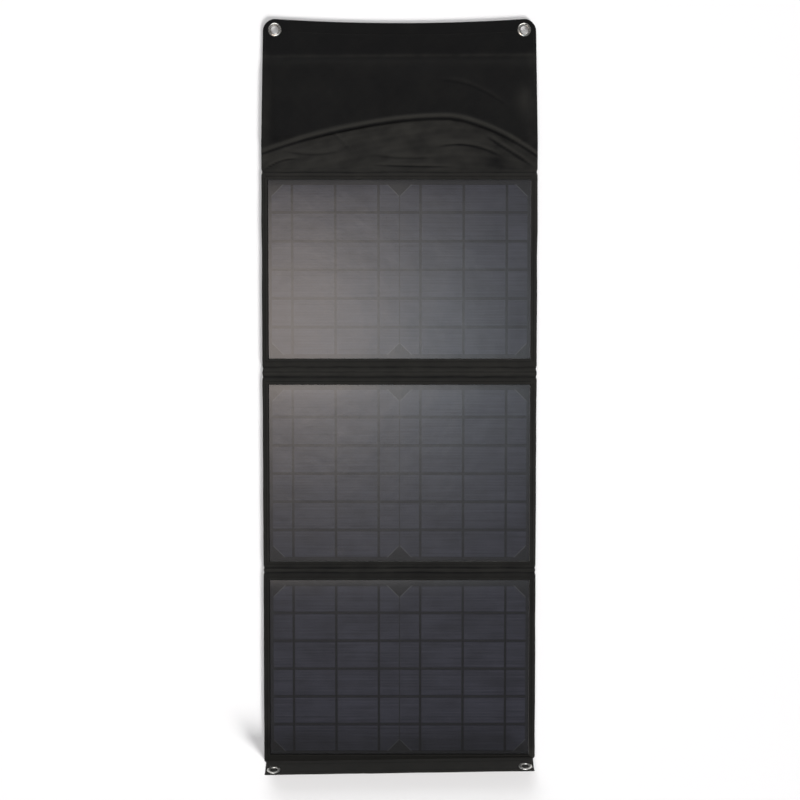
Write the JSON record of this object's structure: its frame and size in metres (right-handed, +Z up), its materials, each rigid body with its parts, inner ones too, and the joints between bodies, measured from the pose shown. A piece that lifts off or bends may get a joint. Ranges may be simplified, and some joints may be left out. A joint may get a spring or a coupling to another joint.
{
  "type": "folding solar charger",
  "caption": "Folding solar charger: laminated panels in a black fabric strip with a zipped charging pocket and eyelets at both ends.",
  "frame": {"origin": "on the ground under the middle of the width, where the back of the middle panel rests, close to the middle of the opened length", "axes": "+X to the right across the strip, +Y along the strip towards the pocket, +Z up from the ground, out of the panels' faces"},
  "size_m": [0.271, 0.7414, 0.0271],
  "materials": {
    "fabric": "black coated polyester canvas, fine plain weave, slight sheen",
    "stiffener": "thin plastic sheet",
    "laminate_board": "dark glass fibre board with white edge",
    "cells": "dark blue-grey monocrystalline silicon with fine fingers",
    "film": "clear embossed polyester film, satin",
    "lead": "black flexible sheath",
    "zip_tape": "woven black tape",
    "zip_coil": "black nylon coil",
    "zip_metal": "black lacquered die casting",
    "hub_shell": "black moulded plastic",
    "circuit_board": "green solder mask",
    "socket_steel": "bright plated steel",
    "eyelet_nickel": "bright nickel plate"
  },
  "bodies": {
    "panel_1": {"panel_1_back_cover": "fabric", "panel_1_stiffener": "stiffener", "panel_1_laminate_board": "laminate_board", "panel_1_cells_left": "cells", "panel_1_cells_right": "cells", "panel_1_top_film": "film", "panel_1_window_frame": "fabric", "panel_1_lead": "lead"},
    "panel_2": {"panel_2_back_cover": "fabric", "panel_2_stiffener": "stiffener", "panel_2_laminate_board": "laminate_board", "panel_2_cells_left": "cells", "panel_2_cells_right": "cells", "panel_2_top_film": "film", "panel_2_window_frame": "fabric", "panel_2_lead": "lead"},
    "panel_3": {"panel_3_back_cover": "fabric", "panel_3_stiffener": "stiffener", "panel_3_laminate_board": "laminate_board", "panel_3_cells_left": "cells", "panel_3_cells_right": "cells", "panel_3_top_film": "film", "panel_3_window_frame": "fabric", "panel_3_lead": "lead"},
    "hinge_12": {"hinge_12_front_ply": "fabric", "hinge_12_back_ply": "fabric", "hinge_12_lead": "lead"},
    "hinge_23": {"hinge_23_front_ply": "fabric", "hinge_23_back_ply": "fabric", "hinge_23_lead": "lead"},
    "hinge_pocket": {"hinge_pocket_front_ply": "fabric", "hinge_pocket_back_ply": "fabric", "hinge_pocket_lead": "lead"},
    "pocket": {"pocket_front": "fabric", "pocket_back_lower": "fabric", "pocket_back_upper": "fabric", "pocket_lead": "lead", "zip_tape_lower": "zip_tape", "zip_tape_upper": "zip_tape", "zip_coil": "zip_coil", "hub_shell_lower": "hub_shell", "hub_shell_upper": "hub_shell", "hub_board": "circuit_board", "usb_socket_left": "socket_steel", "usb_socket_right": "socket_steel", "eyelet_top_left": "eyelet_nickel", "eyelet_top_right": "eyelet_nickel", "eyelet_washer_top_left": "eyelet_nickel", "eyelet_washer_top_right": "eyelet_nickel"},
    "hem": {"bottom_hem": "fabric", "eyelet_bottom_left": "eyelet_nickel", "eyelet_bottom_right": "eyelet_nickel", "eyelet_washer_bottom_left": "eyelet_nickel", "eyelet_washer_bottom_right": "eyelet_nickel"},
    "zip_slider": {"zip_slider_outer": "zip_metal", "zip_slider_inner": "zip_metal"},
    "zip_pull": {"zip_pull": "zip_metal"}
  },
  "joints": [
    {"name": "fold_12", "type": "hinge", "parent": "panel_1", "child": "hinge_12", "pos_m": [0, 0.0323, 0.0018], "axis": [-1, 0, 0], "range_deg": [0, 90]},
    {"name": "fold_12_outer", "type": "hinge", "parent": "hinge_12", "child": "panel_2", "pos_m": [0, 0.0212, 0.0018], "axis": [-1, 0, 0], "range_deg": [0, 90]},
    {"name": "fold_23", "type": "hinge", "parent": "panel_2", "child": "hinge_23", "pos_m": [0, -0.1696, 0.0018], "axis": [-1, 0, 0], "range_deg": [0, 90]},
    {"name": "fold_23_outer", "type": "hinge", "parent": "hinge_23", "child": "panel_3", "pos_m": [0, -0.1761, 0.0018], "axis": [-1, 0, 0], "range_deg": [0, 90]},
    {"name": "hem_curl", "type": "hinge", "parent": "panel_3", "child": "hem", "pos_m": [0, -0.3622, 0.00288], "axis": [-0.9999, -0.0148, 0], "range_deg": [0, 102]},
    {"name": "fold_pocket", "type": "hinge", "parent": "panel_1", "child": "hinge_pocket", "pos_m": [0, 0.2269, 0.0018], "axis": [1, 0, 0], "range_deg": [0, 90]},
    {"name": "fold_pocket_outer", "type": "hinge", "parent": "hinge_pocket", "child": "pocket", "pos_m": [0, 0.2494, 0.0018], "axis": [1, 0, 0], "range_deg": [0, 90]},
    {"name": "zip_travel", "type": "slide", "parent": "pocket", "child": "zip_slider", "axis": [-1, 0, 0], "range_m": [0, 0.208]},
    {"name": "zip_pull_swing", "type": "hinge", "parent": "zip_slider", "child": "zip_pull", "pos_m": [0.104, 0.32, 0.00115], "axis": [0, -1, 0], "range_deg": [0, 150]}
  ],
  "couplings": [
    {"joint": "fold_12_outer", "follows": "fold_12", "ratio": 1},
    {"joint": "fold_23_outer", "follows": "fold_23", "ratio": 1},
    {"joint": "hem_curl", "follows": "fold_23", "ratio": 1.1333},
    {"joint": "fold_pocket_outer", "follows": "fold_pocket", "ratio": 1}
  ]
}
